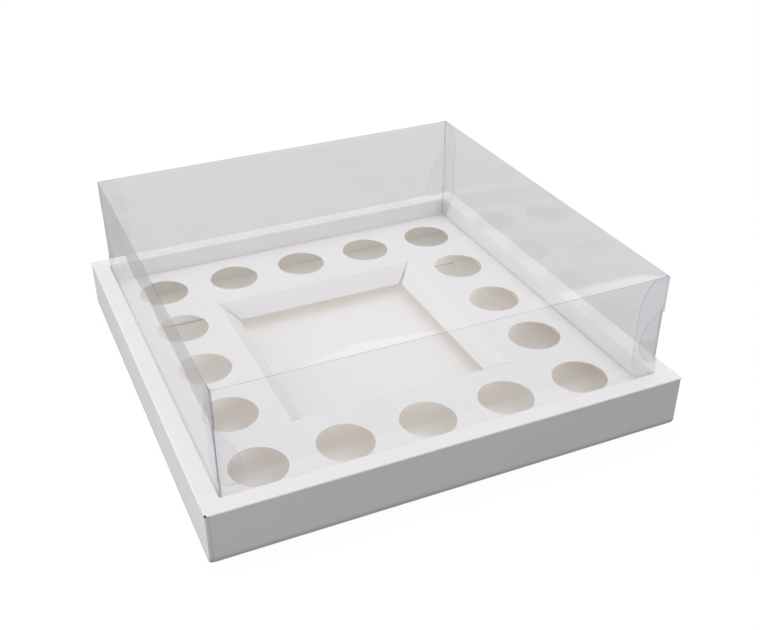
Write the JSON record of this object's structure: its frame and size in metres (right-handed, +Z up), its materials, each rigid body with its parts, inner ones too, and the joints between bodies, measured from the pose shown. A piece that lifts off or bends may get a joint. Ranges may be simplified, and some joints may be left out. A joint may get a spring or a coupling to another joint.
{
  "type": "bento cake box",
  "caption": "Flat square food box: folded white board tray with hollow walls, card insert with sweet holes round a cake opening, and a clear lift-off film lid.",
  "frame": {"origin": "middle of the tray's underside, on the surface the box stands on", "axes": "+Z up through the lid, +X to the right along the front wall, +Y to the back"},
  "size_m": [0.3, 0.3, 0.1012],
  "materials": {
    "white_board": "matt white coated board",
    "white_card": "matt white coated card",
    "clear_film": "clear glossy film"
  },
  "bodies": {
    "base": {"base_tray": "white_board", "cake_insert": "white_card"},
    "lid": {"clear_lid": "clear_film"}
  },
  "joints": [
    {"name": "lid_lift", "type": "slide", "parent": "base", "child": "lid", "axis": [0, 0, 1], "range_m": [0, 0.12]}
  ]
}
